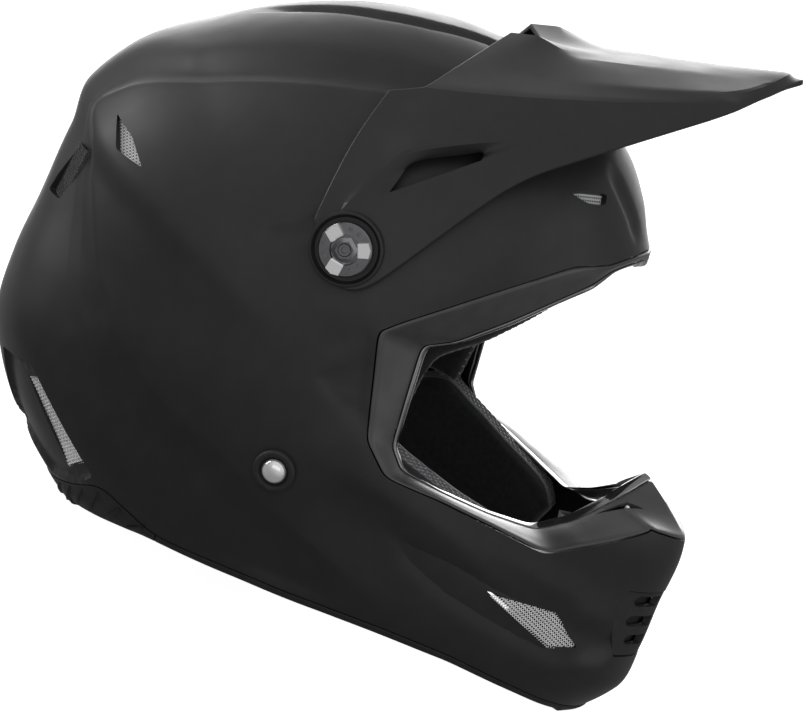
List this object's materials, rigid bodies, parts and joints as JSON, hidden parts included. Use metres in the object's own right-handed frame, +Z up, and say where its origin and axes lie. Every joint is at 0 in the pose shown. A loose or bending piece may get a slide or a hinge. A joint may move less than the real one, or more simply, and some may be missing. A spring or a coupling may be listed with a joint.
{
  "type": "off-road motorcycle helmet",
  "caption": "Full-face off-road helmet with a tilting peak, open eyeport, vented chin bar, removable cheek pads and a D-ring chin strap.",
  "frame": {"origin": "middle of the bounding box at the level of the rim that the helmet stands on", "axes": "+X towards the wearer's front, +Y towards the wearer's left, +Z up"},
  "size_m": [0.3446, 0.257, 0.3165],
  "materials": {
    "matte_shell": "matte black paint over a moulded shell",
    "trim_plastic": "satin black moulding",
    "gloss_lip": "gloss black edge",
    "black_rubber": "matte rubber",
    "vent_mesh": "bright woven wire mesh",
    "dark_chrome": "smoked chrome",
    "chrome": "polished",
    "foam_grey": "bead foam",
    "foam_white": "bead foam",
    "liner_cloth": "brushed knit with spacer mesh edges",
    "webbing": "flat woven nylon"
  },
  "bodies": {
    "shell": {"outer_shell": "matte_shell", "eyeport_trim": "trim_plastic", "eyeport_lip": "gloss_lip", "base_trim": "black_rubber", "neck_roll": "black_rubber", "chin_vent_mesh_left": "vent_mesh", "chin_vent_mesh_right": "vent_mesh", "brow_vent_mesh_left": "vent_mesh", "brow_vent_mesh_right": "vent_mesh", "upper_vent_mesh_left": "vent_mesh", "upper_vent_mesh_right": "vent_mesh", "rear_lower_vent_mesh_left": "vent_mesh", "rear_lower_vent_mesh_right": "vent_mesh", "rear_exhaust_mesh_left": "vent_mesh", "rear_exhaust_mesh_right": "vent_mesh", "chin_grille": "trim_plastic", "impact_liner": "foam_grey", "comfort_liner": "liner_cloth", "chin_foam": "foam_white", "visor_nut_left": "dark_chrome", "visor_nut_right": "dark_chrome", "visor_center_nut": "trim_plastic", "strap_rivet_left": "chrome", "strap_rivet_right": "chrome", "rivet_washer_left": "black_rubber", "rivet_washer_right": "black_rubber"},
    "visor": {"visor_peak": "matte_shell"},
    "screw_left": {"visor_screw_left": "dark_chrome"},
    "screw_right": {"visor_screw_right": "dark_chrome"},
    "screw_center": {"visor_center_screw": "dark_chrome"},
    "strap_left": {"chin_strap_left": "webbing"},
    "strap_right": {"chin_strap_right": "webbing", "strap_snap": "chrome"},
    "ring_inner": {"d_ring_inner": "chrome"},
    "ring_outer": {"d_ring_outer": "chrome"},
    "pad_left": {"cheek_pad_left": "liner_cloth"},
    "pad_right": {"cheek_pad_right": "liner_cloth"}
  },
  "joints": [
    {"name": "visor_tilt", "type": "hinge", "parent": "shell", "child": "visor", "pos_m": [-0.01328, 0, 0.1765], "axis": [0, -1, 0], "range_deg": [0, 8]},
    {"name": "screw_left_turn", "type": "hinge", "parent": "shell", "child": "screw_left", "pos_m": [-0.01328, 0.125, 0.1765], "axis": [0, 1, 0], "continuous": true},
    {"name": "screw_right_turn", "type": "hinge", "parent": "shell", "child": "screw_right", "pos_m": [-0.01328, -0.125, 0.1765], "axis": [0, -1, 0], "continuous": true},
    {"name": "screw_center_turn", "type": "hinge", "parent": "shell", "child": "screw_center", "pos_m": [0.04826, 0, 0.27127], "axis": [0.5446, 0, 0.8387], "continuous": true},
    {"name": "strap_left_swing", "type": "hinge", "parent": "shell", "child": "strap_left", "pos_m": [-0.00408, 0.11875, 0.0708], "axis": [0, 0.9872, -0.1594], "range_deg": [-12, 12]},
    {"name": "strap_right_swing", "type": "hinge", "parent": "shell", "child": "strap_right", "pos_m": [-0.00408, -0.11875, 0.0708], "axis": [0, -0.9872, -0.1594], "range_deg": [-12, 12]},
    {"name": "ring_inner_swing", "type": "hinge", "parent": "strap_left", "child": "ring_inner", "pos_m": [-0.00408, 0.05, 0.0114], "axis": [-1, 0, 0], "range_deg": [-8, 38]},
    {"name": "ring_outer_swing", "type": "hinge", "parent": "strap_left", "child": "ring_outer", "pos_m": [-0.00408, 0.05, 0.0114], "axis": [-1, 0, 0], "range_deg": [-8, 38]},
    {"name": "pad_left_pull", "type": "slide", "parent": "shell", "child": "pad_left", "axis": [0, -1, 0], "range_m": [0, 0.012]},
    {"name": "pad_right_pull", "type": "slide", "parent": "shell", "child": "pad_right", "axis": [0, 1, 0], "range_m": [0, 0.012]}
  ],
  "couplings": [
    {"joint": "ring_outer_swing", "follows": "ring_inner_swing", "ratio": 1}
  ]
}
